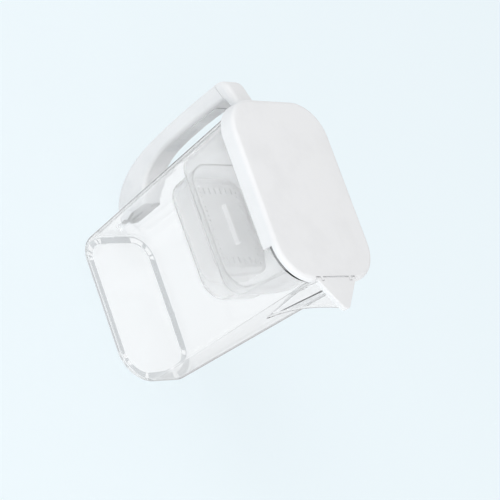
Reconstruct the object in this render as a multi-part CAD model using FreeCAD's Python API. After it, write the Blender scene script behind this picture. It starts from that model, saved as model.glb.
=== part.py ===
import FreeCAD, Part
import math
import os
from FreeCAD import Vector

# Water filter pitcher, in millimetres. +X points out of the spout, +Z up.
# The origin lies on the table, under the middle of the overall length.

# Lid: the widest piece, whose plan the jug and the hopper follow
lid_length = 200.0
lid_width = 140.0
lid_back_radius = 40.0
lid_front_radius = 41.0
lid_wall = 2.4
lid_draft = 1.5
lid_edge_round = 5.0
lid_inner_round = 5.0
lid_skirt_round = 0.8
skirt_cut_length = 41.0
skirt_cut_height = 11.0
lid_overlap = 6.0
lid_rise = 8.4
lid_gap = 0.2

# Reach of the handle behind the lid and of the spout ahead of it
handle_reach = 44.0
spout_reach = 30.0

# Jug
jug_height = 251.0
jug_base_length = 169.5
jug_base_width = 104.0
jug_base_back_radius = 30.0
jug_base_front_radius = 36.0
jug_base_setback = 21.5
jug_wall = 2.4
jug_floor = 4.5
jug_base_round = 4.5
jug_foot_land = 6.0
jug_foot_recess = 1.2

# Pouring beak of the jug
beak_length = 122.0
beak_rise = 6.0
beak_root_depth = 10.0
beak_tuck = 1.5
beak_low_half_width = 12.0
beak_half_width = 35.0
beak_low_radius = 9.0
beak_tip_radius = 5.2
beak_section_count = 5
beak_curve_power = 2.0

# Rail and lug on the jug's back wall that carry the handle
rail_low = 14.0
rail_length = 38.0
rail_neck_width = 6.0
rail_neck_depth = 2.6
rail_head_width = 11.0
rail_head_depth = 2.4
lug_width = 12.0
lug_depth = 5.0
lug_height = 5.0
handle_fit = 0.2

# Handle
handle_width = 28.0
handle_outer_round = 7.0
handle_inner_round = 4.0
handle_corner_round = 8.0
handle_foot = 28.0
handle_top_drop = 13.0
handle_root_thickness = 11.5
handle_top_slope_share = 0.28
handle_seam_slope_share = 0.33
handle_seam_gap = 0.5
handle_top_round = 16.0
handle_thickness = 20.5
peg_length = 9.0
peg_width = 11.0
peg_depth = 7.0
peg_root = 4.0

# Grip insert let into the finger side of the handle
insert_width = 15.0
insert_thickness = 3.4
insert_proud = 0.6
insert_fit = 0.15

# Spout flap, its hinge and the flat tongue of the lid that carries the hinge
flap_plate = 2.2
flap_lip_wall = 1.8
flap_lip_depth = 3.0
flap_beak_gap = 0.6
flap_notch_gap = 0.5
flap_hinge_setback = 2.5
flap_barrel_radius = 2.2
flap_straight = 1.0
flap_opening = 80.0
flap_edge_round = 1.0
tongue_length = 14.0
tongue_thickness = 3.0
pin_radius = 1.0
pin_running_gap = 0.05
pin_half_length = 26.0
ear_place = 19.0
ear_thickness = 3.0

# Hopper: the upper reservoir that hangs in the jug's mouth
hopper_wall = 2.0
hopper_gap = 1.2
hopper_front_slot = 15.6
hopper_tub_depth = 84.0
hopper_low_gap = 2.0
hopper_front_taper = 5.0
hopper_front_radius = 24.0
hopper_tub_round = 7.0
hopper_flange = 2.6
hopper_flange_inset = 0.3
hopper_flange_front = 6.0
hopper_flange_corner = 8.0
sump_length = 138.0
sump_width = 94.0
sump_radius = 27.0
sump_depth = 38.0
sump_taper = 4.0
sump_round = 6.0
sump_back_margin = 18.1
socket_depth = 8.0

# Lid liner and its seal
liner_gap = 0.6
liner_wall = 1.8
liner_depth = 11.0
liner_flange = 1.6
liner_flange_reach = 4.5
seal_height = 3.0
seal_groove = 0.7
seal_gap = 0.3
seal_drop = 4.0

# Filter cartridge
cartridge_gap = 4.0
cartridge_finger_room = 12.0
cartridge_height = 20.0
cartridge_draft = 1.2
cartridge_wall = 1.6
cartridge_floor = 2.0
cartridge_fit = 0.15
neck_radius = 22.0
neck_length = 11.0
neck_wall = 2.0
outlet_slot_width = 2.2
outlet_slot_pitch = 5.0
outlet_slot_count = 7
ring_radius = 1.1
ring_squeeze_gap = 0.25
ring_groove = 0.35
ring_drop = 5.0
cap_flange = 1.6
cap_flange_reach = 1.2
cap_dome_height = 3.3
cap_dome_inset = 2.0
cap_dome_taper = 5.0
cap_dome_round = 1.5
cap_wall = 1.6
cap_row_margin = 4.0
cap_hole_margin = 4.5
cap_hole_radius = 1.1
cap_hole_count = 17
cap_slot_margin = 6.0
cap_slot_length = 7.0
cap_slot_width = 2.0
cap_slot_count = 6
cap_grip_length = 44.0
cap_grip_width = 3.4
cap_grip_height = 6.0
cap_grip_round = 1.4
screen_thickness = 0.8
pad_thickness = 2.0
carbon_depth = 6.0

# Cuts run past the faces that they open by this much
overrun = 12.0
# Two heights closer than this are the same height
same_height = 0.001

# Places that follow from the sizes above
overall_length = handle_reach + lid_length + spout_reach
handle_back_x = -overall_length / 2
lid_back_x = handle_back_x + handle_reach
lid_front_x = lid_back_x + lid_length
spout_tip_x = lid_front_x + spout_reach
flange_top = jug_height + hopper_flange
lid_top = flange_top + lid_rise
lid_bottom = jug_height - lid_overlap
lid_underside = lid_top - lid_wall
beak_top_z = jug_height + beak_rise


class Outline:
    """A rounded rectangle seen from above, with its own corner radius at the back and at the front."""

    def __init__(self, back, front, width, back_radius, front_radius):
        self.back = back
        self.front = front
        self.width = width
        self.back_radius = back_radius
        self.front_radius = front_radius

    def inset(self, distance):
        """The same outline, drawn in by distance all round."""
        return Outline(
            self.back + distance,
            self.front - distance,
            self.width - 2 * distance,
            self.back_radius - distance,
            self.front_radius - distance,
        )

    def toward(self, other, share):
        """The outline that lies a share of the way from this one to another."""
        def mix(a, b):
            return a + (b - a) * share

        return Outline(
            mix(self.back, other.back),
            mix(self.front, other.front),
            mix(self.width, other.width),
            mix(self.back_radius, other.back_radius),
            mix(self.front_radius, other.front_radius),
        )

    def wire(self, height):
        """The outline as a closed wire at a height."""
        half = self.width / 2
        corners = (
            (self.back + self.back_radius, -half + self.back_radius, self.back_radius, -1, -1),
            (self.front - self.front_radius, -half + self.front_radius, self.front_radius, 1, -1),
            (self.front - self.front_radius, half - self.front_radius, self.front_radius, 1, 1),
            (self.back + self.back_radius, half - self.back_radius, self.back_radius, -1, 1),
        )
        arcs = []
        for x, y, radius, side_x, side_y in corners:
            centre = Vector(x, y, height)
            along_x = centre + Vector(side_x * radius, 0, 0)
            along_y = centre + Vector(0, side_y * radius, 0)
            middle = centre + Vector(side_x, side_y, 0) * (radius * math.sqrt(0.5))
            ends = (along_x, along_y) if side_x * side_y > 0 else (along_y, along_x)
            arcs.append((ends[0], middle, ends[1]))
        edges = []
        for index, (start, middle, end) in enumerate(arcs):
            edges.append(Part.Arc(start, middle, end).toShape())
            edges.append(Part.LineSegment(end, arcs[(index + 1) % len(arcs)][0]).toShape())
        return Part.Wire(edges)


def loft(low, low_z, high, high_z):
    """A solid between two outlines at two heights."""
    return Part.makeLoft([low.wire(low_z), high.wire(high_z)], True, True)


def prism(outline, low_z, high_z):
    """A straight solid of one outline between two heights."""
    return Part.Face(outline.wire(low_z)).extrude(Vector(0, 0, high_z - low_z))


def block(x, y, z):
    """A box between the pairs of limits x, y and z."""
    return Part.makeBox(x[1] - x[0], y[1] - y[0], z[1] - z[0], Vector(x[0], y[0], z[0]))


def cylinder(radius, x, low_z, high_z):
    """An upright cylinder on the middle plane."""
    return Part.makeCylinder(radius, high_z - low_z, Vector(x, 0, low_z))


def edges_at(shape, height):
    """The edges of a shape that lie flat at a height."""
    def near(z):
        return abs(z - height) < same_height

    return [e for e in shape.Edges if near(e.BoundBox.ZMin) and near(e.BoundBox.ZMax)]


def is_upright(edge):
    """Whether an edge stands straight up."""
    box = edge.BoundBox
    return box.ZLength > same_height and max(box.XLength, box.YLength) < same_height


def rounded_at(shape, height, radius):
    """The shape with its edges at a height rounded."""
    return shape.makeFillet(radius, edges_at(shape, height))


def side_extrusion(wire, width):
    """A solid of that width across the middle plane, from a closed wire drawn on it."""
    flat = Part.Face(wire)
    flat.translate(Vector(0, -width / 2, 0))
    return flat.extrude(Vector(0, width, 0))


def polygon(points):
    """A closed wire of straight sides."""
    return Part.makePolygon(list(points) + [points[0]])


# Outlines that several pieces share
lid_outline = Outline(lid_back_x, lid_front_x, lid_width, lid_back_radius, lid_front_radius)
jug_top = lid_outline.inset(lid_wall + lid_draft + lid_gap)
jug_base = Outline(
    lid_back_x + jug_base_setback,
    lid_back_x + jug_base_setback + jug_base_length,
    jug_base_width,
    jug_base_back_radius,
    jug_base_front_radius,
)


def jug_outline(height):
    """The jug's outer outline at a height, on its tapered walls."""
    return jug_base.toward(jug_top, height / jug_height)


def back_wall_x(height):
    """Where the jug's back wall stands at a height."""
    return jug_outline(height).back


def hopper_outline(height, gap, front_shift):
    """The hopper's outer outline at a height: the jug's inside less a gap, with its front set back."""
    around = jug_outline(height).inset(jug_wall + gap)
    front = jug_top.front - jug_wall - hopper_front_slot - front_shift
    return Outline(around.back, front, around.width, around.back_radius, hopper_front_radius - front_shift)


tub_floor_z = flange_top - hopper_tub_depth
sump_floor_z = tub_floor_z - sump_depth
sump_top_z = tub_floor_z + hopper_wall
tub_top = hopper_outline(jug_height, hopper_gap, 0)
tub_low = hopper_outline(tub_floor_z, hopper_low_gap, hopper_front_taper)
hopper_mouth = tub_top.inset(hopper_wall)
sump_back = tub_top.back + sump_back_margin
sump_outline = Outline(sump_back, sump_back + sump_length, sump_width, sump_radius, sump_radius)
sump_low = sump_outline.inset(sump_taper)
cartridge_z = sump_floor_z + hopper_wall
cup_outline = sump_low.inset(hopper_wall + cartridge_gap)
cup_outline.front -= cartridge_finger_room
cartridge_x = (cup_outline.back + cup_outline.front) / 2
collar_radius = neck_radius + 2 * ring_radius - ring_groove + ring_squeeze_gap


def hopper_room(height):
    """The hopper's inner outline at a height, on its drawn-in walls."""
    share = (height - sump_top_z) / (flange_top - sump_top_z)
    return tub_low.inset(hopper_wall).toward(hopper_mouth, share)


def sump_inner(height):
    """The sump's inner outline at a height, on its drawn-in walls."""
    share = (height - cartridge_z) / (sump_top_z - cartridge_z)
    return sump_low.inset(hopper_wall).toward(sump_outline.inset(hopper_wall), share)


class BeakSection:
    """One level cut through the pouring beak: two straight cheeks that meet in a round tip."""

    def __init__(self, share):
        self.z = beak_top_z - beak_length * (1 - share)
        wall = jug_outline(self.z).front
        rim_wall = jug_outline(beak_top_z).front
        tip_at_rim = spout_tip_x - flap_lip_wall - flap_beak_gap
        reach = tip_at_rim - rim_wall + beak_tuck
        self.radius = beak_low_radius + (beak_tip_radius - beak_low_radius) * share
        self.centre = wall - beak_tuck + reach * share**beak_curve_power - self.radius
        self.root = wall - beak_root_depth
        self.half = beak_low_half_width + (beak_half_width - beak_low_half_width) * share
        self.slope = self.cheek_slope()

    def cheek_slope(self):
        """The angle at which the left cheek leans in towards the tip."""
        run = self.centre - self.root
        return math.asin(self.radius / math.hypot(run, self.half)) - math.atan2(self.half, run)

    def cheek(self, grow):
        """Root point and tip point of the left cheek, moved outwards by grow."""
        normal = Vector(-math.sin(self.slope), math.cos(self.slope), 0)
        root = Vector(self.root, self.half, 0) + normal * grow
        tip = Vector(self.centre, 0, 0) + normal * (self.radius + grow)
        return root, tip

    def half_width_at(self, x, grow):
        """Half of the beak's width at x, moved outwards by grow."""
        root, _ = self.cheek(grow)
        return root.y + (x - root.x) * math.tan(self.slope)

    def wire(self, grow):
        """The closed section, moved outwards by grow."""
        lift = Vector(0, 0, self.z)
        root, tip = self.cheek(grow)
        left_root, left_tip = root + lift, tip + lift
        right_root = Vector(root.x, -root.y, 0) + lift
        right_tip = Vector(tip.x, -tip.y, 0) + lift
        nose = Vector(self.centre + self.radius + grow, 0, 0) + lift
        return Part.Wire(
            [
                Part.LineSegment(right_root, right_tip).toShape(),
                Part.Arc(right_tip, nose, left_tip).toShape(),
                Part.LineSegment(left_tip, left_root).toShape(),
                Part.LineSegment(left_root, right_root).toShape(),
            ]
        )


def beak(grow, past_rim):
    """The beak as a solid, grown or drawn in, and run past the rim by whole steps."""
    steps = beak_section_count - 1
    shares = [index / steps for index in range(beak_section_count + past_rim)]
    return Part.makeLoft([BeakSection(share).wire(grow) for share in shares], True, False)


def wall_side():
    """Everything on the jug's side of its back wall, as a wedge."""
    low, high = -overrun, lid_top + overrun
    points = (
        Vector(back_wall_x(low), 0, low),
        Vector(back_wall_x(high), 0, high),
        Vector(lid_front_x, 0, high),
        Vector(lid_front_x, 0, low),
    )
    return side_extrusion(polygon(points), lid_width)


def on_back_wall(shape):
    """Leans a shape drawn against the plane x = 0 onto the jug's back wall."""
    lean = math.degrees(math.atan2(jug_top.back - jug_base.back, jug_height))
    shape.rotate(Vector(0, 0, 0), Vector(0, 1, 0), lean)
    shape.translate(Vector(jug_base.back, 0, 0))
    return shape


def handle_rail(fit, root):
    """The T-shaped rail that the handle's foot slides onto, grown by a fit and rooted in the wall."""
    neck = block(
        (-rail_neck_depth - fit, root),
        (-rail_neck_width / 2 - fit, rail_neck_width / 2 + fit),
        (rail_low, rail_low + rail_length + fit),
    )
    head = block(
        (-rail_neck_depth - rail_head_depth - fit, -rail_neck_depth + fit),
        (-rail_head_width / 2 - fit, rail_head_width / 2 + fit),
        (rail_low, rail_low + rail_length + fit),
    )
    return on_back_wall(neck.fuse(head).removeSplitter())


def handle_lug(fit, root):
    """The plain lug that the top of the handle is pressed over."""
    middle = handle_top - handle_root_thickness / 2
    return on_back_wall(
        block(
            (-lug_depth - fit, root),
            (-lug_width / 2 - fit, lug_width / 2 + fit),
            (middle - lug_height / 2 - fit, middle + lug_height / 2 + fit),
        )
    )


def make_jug():
    """The clear container with its foot ring, beak, handle rail and lug."""
    outer = rounded_at(loft(jug_base, 0, jug_top, jug_height), 0, jug_base_round)
    above = jug_height + overrun
    inside = loft(
        jug_outline(jug_floor).inset(jug_wall), jug_floor, jug_outline(above).inset(jug_wall), above
    )
    inside = rounded_at(inside, jug_floor, jug_base_round - jug_wall)
    recess = prism(jug_base.inset(jug_base_round + jug_foot_land), -overrun, jug_foot_recess)
    body = outer.fuse(beak(0, 0)).cut(inside).cut(beak(-jug_wall, 1)).cut(recess)
    grip_root = jug_wall / 2
    return body.fuse([handle_rail(0, grip_root), handle_lug(0, grip_root)]).removeSplitter()


# Points of the handle's side view, as shares of the reach behind the wall and of the height from
# its foot to its seam
handle_outer_shares = ((-0.20, 0.0), (0.24, 0.012), (0.585, 0.125), (0.86, 0.42), (0.97, 0.80), (1.0, 1.0))
handle_inner_shares = ((-0.20, 0.21), (0.13, 0.236), (0.48, 0.37), (0.635, 0.60), (0.672, 0.83), (0.665, 1.0))
handle_top = jug_height - handle_top_drop


def seam_z(x):
    """Height of the seam between grip and cap, which climbs towards the jug."""
    run = x - back_wall_x(handle_top)
    return handle_top - handle_root_thickness + run * handle_seam_slope_share


def handle_top_line(x):
    """Height of the cap's top, which climbs towards the jug less steeply than the seam."""
    return handle_top + (x - back_wall_x(handle_top)) * handle_top_slope_share


handle_seam_back = seam_z(handle_back_x)


def handle_point(shares, shift=0):
    """A point of the handle's side view, moved back by shift."""
    reach_share, height_share = shares
    start = back_wall_x(handle_foot)
    return Vector(
        start + (handle_back_x - start) * reach_share - shift,
        0,
        handle_foot + (handle_seam_back - handle_foot) * height_share,
    )


def curve_through(points):
    """A smooth edge through points."""
    curve = Part.BSplineCurve()
    curve.interpolate(points)
    return curve.toShape()


def handle_loop():
    """The whole handle as one rounded loop, open at the jug's wall."""
    outer = [handle_point(s) for s in handle_outer_shares]
    inner = [handle_point(s) for s in handle_inner_shares]
    inside_jug = outer[0].x
    slope = math.atan(handle_top_slope_share)
    middle_x = handle_back_x + handle_top_round
    crown_x = middle_x - handle_top_round * math.sin(slope)
    crown = Vector(crown_x, 0, handle_top_line(crown_x))
    middle = Vector(middle_x, 0, crown.z - handle_top_round * math.cos(slope))
    shoulder = middle - Vector(handle_top_round, 0, 0)
    half_turn = (math.pi / 2 + slope) / 2
    bend = middle + Vector(-math.sin(half_turn), 0, math.cos(half_turn)) * handle_top_round
    top_end = Vector(inside_jug, 0, handle_top_line(inside_jug))
    under_start = Vector(inner[-1].x, 0, seam_z(inner[-1].x))
    under_end = Vector(inside_jug, 0, seam_z(inside_jug))
    edges = [
        curve_through(outer),
        Part.LineSegment(outer[-1], shoulder).toShape(),
        Part.Arc(shoulder, bend, crown).toShape(),
        Part.LineSegment(crown, top_end).toShape(),
        Part.LineSegment(top_end, under_end).toShape(),
        Part.LineSegment(under_end, under_start).toShape(),
        Part.LineSegment(under_start, inner[-1]).toShape(),
        curve_through(inner[::-1]),
        Part.LineSegment(inner[0], outer[0]).toShape(),
    ]
    return side_extrusion(Part.Wire(edges), handle_width)


def side_edges(shape, inside_jug):
    """The long edges on both flanks of the handle, parted into outer ones and finger-side ones."""
    outer, inner = [], []
    for edge in shape.Edges:
        box = edge.BoundBox
        on_flank = box.YLength < same_height and abs(abs(box.YMin) - handle_width / 2) < same_height
        if not on_flank or box.XMin > inside_jug - same_height:
            continue
        middle = edge.valueAt((edge.FirstParameter + edge.LastParameter) / 2)
        is_outer = middle.z > seam_z(middle.x) + handle_root_thickness / 2 or is_back_side(middle)
        (outer if is_outer else inner).append(edge)
    return outer, inner


def is_back_side(point):
    """Whether a point of the handle's side view lies nearer to its outer curve than to its finger side."""
    outer = curve_through([handle_point(s) for s in handle_outer_shares])
    inner = curve_through([handle_point(s) for s in handle_inner_shares])
    spot = Part.Vertex(Vector(point.x, 0, point.z))
    return spot.distToShape(outer)[0] < spot.distToShape(inner)[0]


def rounded_loop():
    """The handle loop with a soft finger corner and rounded flanks, trimmed at the jug's wall."""
    loop = handle_loop()
    inside_jug = handle_point(handle_outer_shares[0]).x
    corner_x = handle_point(handle_inner_shares[-1]).x
    corner_z = seam_z(corner_x)

    def is_corner(edge):
        box = edge.BoundBox
        return abs(box.XMin - corner_x) < same_height and abs(box.ZMin - corner_z) < same_height

    corner = [e for e in loop.Edges if is_corner(e) and e.BoundBox.YLength > handle_width / 2]
    loop = loop.makeFillet(handle_corner_round, corner)
    outer, inner = side_edges(loop, inside_jug)
    loop = loop.makeFillet(handle_outer_round, outer)
    _, inner = side_edges(loop, inside_jug)
    loop = loop.makeFillet(handle_inner_round, inner)
    return loop.cut(wall_side())


def above_seam(shift):
    """Everything above the handle's seam, with the seam moved up by shift."""
    back, front = handle_back_x - overrun, lid_front_x
    points = (
        Vector(back, 0, seam_z(back) + shift),
        Vector(front, 0, seam_z(front) + shift),
        Vector(front, 0, lid_top + overrun),
        Vector(back, 0, lid_top + overrun),
    )
    return side_extrusion(polygon(points), lid_width)


def handle_peg(fit):
    """The peg of the cap that stands in the top of the grip."""
    middle = handle_back_x + handle_thickness / 2
    return block(
        (middle - peg_depth / 2 - fit, middle + peg_depth / 2 + fit),
        (-peg_width / 2 - fit, peg_width / 2 + fit),
        (seam_z(middle) - peg_length - fit, seam_z(middle) + peg_root),
    )


insert_shares = ((0.545, 0.385), (0.635, 0.58), (0.665, 0.82), (0.662, 0.94))


def insert_body(fit):
    """The grip insert, or with a fit the recess that it lies in."""
    face = [handle_point(s, -insert_proud - fit) for s in insert_shares]
    back = [handle_point(s, insert_thickness - insert_proud + fit) for s in insert_shares]
    face[0].z = back[0].z = face[0].z - fit
    face[-1].z = back[-1].z = face[-1].z + fit
    edges = [
        curve_through(face),
        Part.LineSegment(face[-1], back[-1]).toShape(),
        curve_through(back[::-1]),
        Part.LineSegment(back[0], face[0]).toShape(),
    ]
    return side_extrusion(Part.Wire(edges), insert_width + 2 * fit)


def make_handle_grip(loop):
    """The hand grip with its foot on the rail."""
    grip = loop.cut(above_seam(-handle_seam_gap / 2))
    return grip.cut([handle_rail(handle_fit, overrun), handle_peg(handle_fit), insert_body(insert_fit)])


def make_handle_cap(loop):
    """The bridge over the top of the grip, pressed over the jug's lug."""
    cap = loop.common(above_seam(handle_seam_gap / 2)).fuse(handle_peg(0))
    return cap.cut(handle_lug(handle_fit, overrun)).removeSplitter()


# Spout flap in plan: the beak's rim grown by the lip and its clearance, squared off at the hinge
rim_section = BeakSection(1.0)
flap_grow = flap_beak_gap + flap_lip_wall
hinge_x = lid_front_x - flap_hinge_setback
hinge_z = lid_top - flap_barrel_radius
flap_shoulder_x = hinge_x + flap_straight
flap_half_width = rim_section.half_width_at(flap_shoulder_x, flap_grow)
lip_rear_x = hinge_x + flap_barrel_radius + flap_notch_gap


def flap_plan(rear, grow, low_z, high_z):
    """A solid of the flap's plan from a rear edge forward, grown outwards by grow."""
    half = flap_half_width + grow
    root, tip = rim_section.cheek(flap_grow + grow)
    nose = Vector(rim_section.centre + rim_section.radius + flap_grow + grow, 0, 0)
    shoulder_x = root.x + (half - root.y) / math.tan(rim_section.slope)
    left = (Vector(rear, half, 0), Vector(shoulder_x, half, 0), tip)
    right = tuple(Vector(p.x, -p.y, 0) for p in left)
    edges = [
        Part.LineSegment(left[0], right[0]).toShape(),
        Part.LineSegment(right[0], right[1]).toShape(),
        Part.LineSegment(right[1], right[2]).toShape(),
        Part.Arc(right[2], nose, left[2]).toShape(),
        Part.LineSegment(left[2], left[1]).toShape(),
        Part.LineSegment(left[1], left[0]).toShape(),
    ]
    flat = Part.Face(Part.Wire(edges))
    flat.translate(Vector(0, 0, low_z))
    return flat.extrude(Vector(0, 0, high_z - low_z))


def hinge_rod(radius, half_length):
    """A rod along the flap's hinge line."""
    return Part.makeCylinder(radius, 2 * half_length, Vector(hinge_x, -half_length, hinge_z), Vector(0, 1, 0))


def flap_swing_radius():
    """How far from the hinge the lid gives way, so that the open flap's plate clears the tongue's edge."""
    half_turn = math.radians(flap_opening) / 2
    back = flap_barrel_radius * math.tan(half_turn) + flap_notch_gap / math.sin(2 * half_turn)
    return math.hypot(flap_barrel_radius, back)


def ear_slots(grow):
    """The two stretches of the hinge line that belong to the lid's ears, widened by grow."""
    low, high = ear_place - grow, ear_place + ear_thickness + grow
    return ((-high, -low), (low, high))


def make_spout_flap():
    """The flap over the beak: a plate with a lip, and a hinge barrel that leaves room for the ears."""
    plate_bottom = lid_top - flap_plate
    lip_bottom = plate_bottom - flap_lip_depth
    plate = flap_plan(hinge_x, 0, plate_bottom, lid_top)
    rim = [e for e in edges_at(plate, lid_top) if e.BoundBox.XMax > flap_shoulder_x + same_height]
    plate = plate.makeFillet(flap_edge_round, rim)
    lip = flap_plan(hinge_x, 0, lip_bottom, plate_bottom)
    hollow = flap_plan(hinge_x - overrun, -flap_lip_wall, lip_bottom - overrun, plate_bottom)
    behind = block((hinge_x, lip_rear_x), (-lid_width, lid_width), (lip_bottom, plate_bottom))
    barrel = hinge_rod(flap_barrel_radius, flap_half_width)
    bore = hinge_rod(pin_radius + pin_running_gap, pin_half_length + flap_notch_gap)
    reach = flap_barrel_radius + flap_notch_gap
    slots = [
        block((hinge_x - reach, hinge_x + reach), y, (lip_bottom, lid_top + overrun))
        for y in ear_slots(flap_notch_gap)
    ]
    return plate.fuse([lip.cut([hollow, behind]), barrel]).cut([bore] + slots).removeSplitter()


def make_hinge_pin():
    """The pin on which the flap turns, held in the lid's two ears."""
    return hinge_rod(pin_radius, pin_half_length)


def lid_inner(height):
    """The lid's inner outline at a height, on its leaning skirt."""
    low = lid_outline.inset(lid_wall)
    high = lid_outline.inset(lid_wall + lid_draft)
    return low.toward(high, (height - lid_bottom) / (lid_underside - lid_bottom))


def make_lid_cover():
    """The lid's shell: soft edge, skirt cut away at the pouring end, tongue and two hinge ears."""
    outer = loft(lid_outline, lid_bottom, lid_outline.inset(lid_draft), lid_top)
    outer = rounded_at(outer, lid_top, lid_edge_round)
    below = lid_bottom - overrun
    inner = loft(lid_inner(below), below, lid_inner(lid_underside), lid_underside)
    inner = rounded_at(inner, lid_underside, lid_inner_round)
    shell = rounded_at(outer.cut(inner), lid_bottom, lid_skirt_round)
    tongue_back = lid_front_x - tongue_length
    tongue_bottom = lid_top - tongue_thickness
    across = (-flap_half_width, flap_half_width)
    tongue = block((tongue_back, hinge_x), across, (tongue_bottom, lid_top))
    mouth = flap_plan(tongue_back, flap_notch_gap, below, tongue_bottom)
    ahead = flap_plan(hinge_x, flap_notch_gap, below, lid_top + overrun)
    pouring_end = (lid_front_x - skirt_cut_length, lid_front_x + overrun)
    window = block(pouring_end, (-lid_width, lid_width), (below, lid_bottom + skirt_cut_height))
    swing = hinge_rod(flap_swing_radius(), flap_half_width + flap_notch_gap)
    shell = shell.fuse(tongue).cut([mouth, ahead, swing, window])
    ears = []
    for y in ear_slots(0):
        root = block((tongue_back, hinge_x), y, (hinge_z - flap_barrel_radius, lid_top))
        knuckle = hinge_rod(flap_barrel_radius, flap_half_width)
        slice_y = block((tongue_back, lid_front_x + overrun), y, (below, lid_top))
        ears.append(root.fuse(knuckle.common(slice_y)))
    return shell.fuse(ears).cut(hinge_rod(pin_radius, pin_half_length)).removeSplitter()


web_outer = hopper_room(flange_top - liner_depth).inset(liner_gap)
seal_low = flange_top - seal_drop - seal_height


def ring(outer, inner, low_z, high_z):
    """A straight ring between two outlines."""
    return prism(outer, low_z, high_z).cut(prism(inner, low_z - overrun, high_z + overrun))


def make_lid_liner():
    """The frame inside the lid that rests on the hopper's flange and enters its mouth."""
    web_inner = web_outer.inset(liner_wall)
    web = ring(web_outer, web_inner, flange_top - liner_depth, lid_underside)
    flange = ring(hopper_mouth.inset(-liner_flange_reach), web_inner, flange_top, flange_top + liner_flange)
    groove = ring(hopper_mouth, web_outer.inset(seal_groove), seal_low, seal_low + seal_height)
    return web.fuse(flange).cut(groove).removeSplitter()


def make_lid_seal():
    """The soft band round the liner that closes the hopper's mouth."""
    seal_outer = hopper_room(seal_low).inset(seal_gap)
    return ring(seal_outer, web_outer.inset(seal_groove), seal_low, seal_low + seal_height)


def make_hopper():
    """The upper reservoir: tub, sump and cartridge socket, hung from the jug's rim by its flange."""
    flange_front = tub_top.front + hopper_flange_front
    ahead = block((flange_front, lid_front_x), (-lid_width, lid_width), (lid_bottom, lid_top))
    flange = prism(jug_top.inset(hopper_flange_inset), jug_height, flange_top).cut(ahead)
    corners = [e for e in flange.Edges if is_upright(e) and abs(e.BoundBox.XMin - flange_front) < same_height]
    flange = flange.makeFillet(hopper_flange_corner, corners)
    tub = rounded_at(loft(tub_low, tub_floor_z, tub_top, flange_top), tub_floor_z, hopper_tub_round)
    sump = rounded_at(loft(sump_low, sump_floor_z, sump_outline, sump_top_z), sump_floor_z, sump_round)
    collar = cylinder(collar_radius + hopper_wall, cartridge_x, sump_floor_z - socket_depth, cartridge_z)
    body = flange.fuse([tub, sump, collar])
    above = flange_top + overrun
    tub_room = loft(hopper_room(sump_top_z), sump_top_z, hopper_room(above), above)
    tub_room = rounded_at(tub_room, sump_top_z, hopper_tub_round - hopper_wall)
    into_tub = sump_top_z + hopper_wall
    sump_room = loft(sump_inner(cartridge_z), cartridge_z, sump_inner(into_tub), into_tub)
    sump_room = rounded_at(sump_room, cartridge_z, sump_round - hopper_wall)
    hole = cylinder(collar_radius, cartridge_x, sump_floor_z - overrun, cartridge_z + hopper_wall)
    return body.cut([tub_room, sump_room, hole]).removeSplitter()


# Filter cartridge: the heights of its layers, from the floor up
cup_top_z = cartridge_z + cartridge_height
cup_floor_z = cartridge_z + cartridge_floor
screen_z = cup_top_z - screen_thickness
top_pad_z = screen_z - pad_thickness
carbon_z = top_pad_z - carbon_depth
middle_pad_z = carbon_z - pad_thickness
resin_z = cup_floor_z + pad_thickness
neck_bottom_z = cartridge_z - neck_length
neck_floor_z = neck_bottom_z + cartridge_floor
ring_z = cartridge_z - ring_drop


def cup_at(height):
    """The cup's outer outline at a height, on its drawn-in walls."""
    low = cup_outline.inset(cartridge_draft)
    return low.toward(cup_outline, (height - cartridge_z) / cartridge_height)


def seal_ring():
    """The ring in the groove of the cartridge's neck."""
    middle = neck_radius - ring_groove + ring_radius
    return Part.makeTorus(middle, ring_radius, Vector(cartridge_x, 0, ring_z))


def make_cartridge_cup():
    """The cartridge's cup with its neck and outlet slots."""
    cup = loft(cup_at(cartridge_z), cartridge_z, cup_outline, cup_top_z)
    room = loft(
        cup_at(cup_floor_z).inset(cartridge_wall),
        cup_floor_z,
        cup_at(cup_top_z + overrun).inset(cartridge_wall),
        cup_top_z + overrun,
    )
    bore = neck_radius - neck_wall
    neck = cylinder(neck_radius, cartridge_x, neck_bottom_z, cup_floor_z)
    neck_room = cylinder(bore, cartridge_x, neck_floor_z, cup_floor_z + overrun)
    groove_low, groove_high = ring_z - ring_radius, ring_z + ring_radius
    groove = cylinder(neck_radius + overrun, cartridge_x, groove_low, groove_high)
    groove = groove.cut(cylinder(neck_radius - ring_groove, cartridge_x, groove_low, groove_high))
    slots = []
    for index in range(outlet_slot_count):
        y = (index - (outlet_slot_count - 1) / 2) * outlet_slot_pitch
        half = math.sqrt(bore**2 - y**2) - neck_wall
        slots.append(
            block(
                (cartridge_x - half, cartridge_x + half),
                (y - outlet_slot_width / 2, y + outlet_slot_width / 2),
                (neck_bottom_z - overrun, neck_floor_z + cartridge_floor),
            )
        )
    return cup.fuse(neck).cut([room, neck_room, groove] + slots).removeSplitter()


def cap_inlets(crown, low_z, high_z):
    """Cutters for the round holes along the cap's two long sides and the slots across its two ends."""
    side_y = crown.width / 2 - cap_hole_margin
    first, last = crown.back + cap_row_margin, crown.front - cap_row_margin
    cutters = []
    for index in range(cap_hole_count):
        x = first + (last - first) * index / (cap_hole_count - 1)
        for y in (-side_y, side_y):
            cutters.append(Part.makeCylinder(cap_hole_radius, high_z - low_z, Vector(x, y, low_z)))
    reach = side_y - cap_slot_margin
    for index in range(cap_slot_count):
        y = reach * (2 * index / (cap_slot_count - 1) - 1)
        across = (y - cap_slot_width / 2, y + cap_slot_width / 2)
        for start in (first, last - cap_slot_length):
            cutters.append(block((start, start + cap_slot_length), across, (low_z, high_z)))
    return cutters


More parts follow.
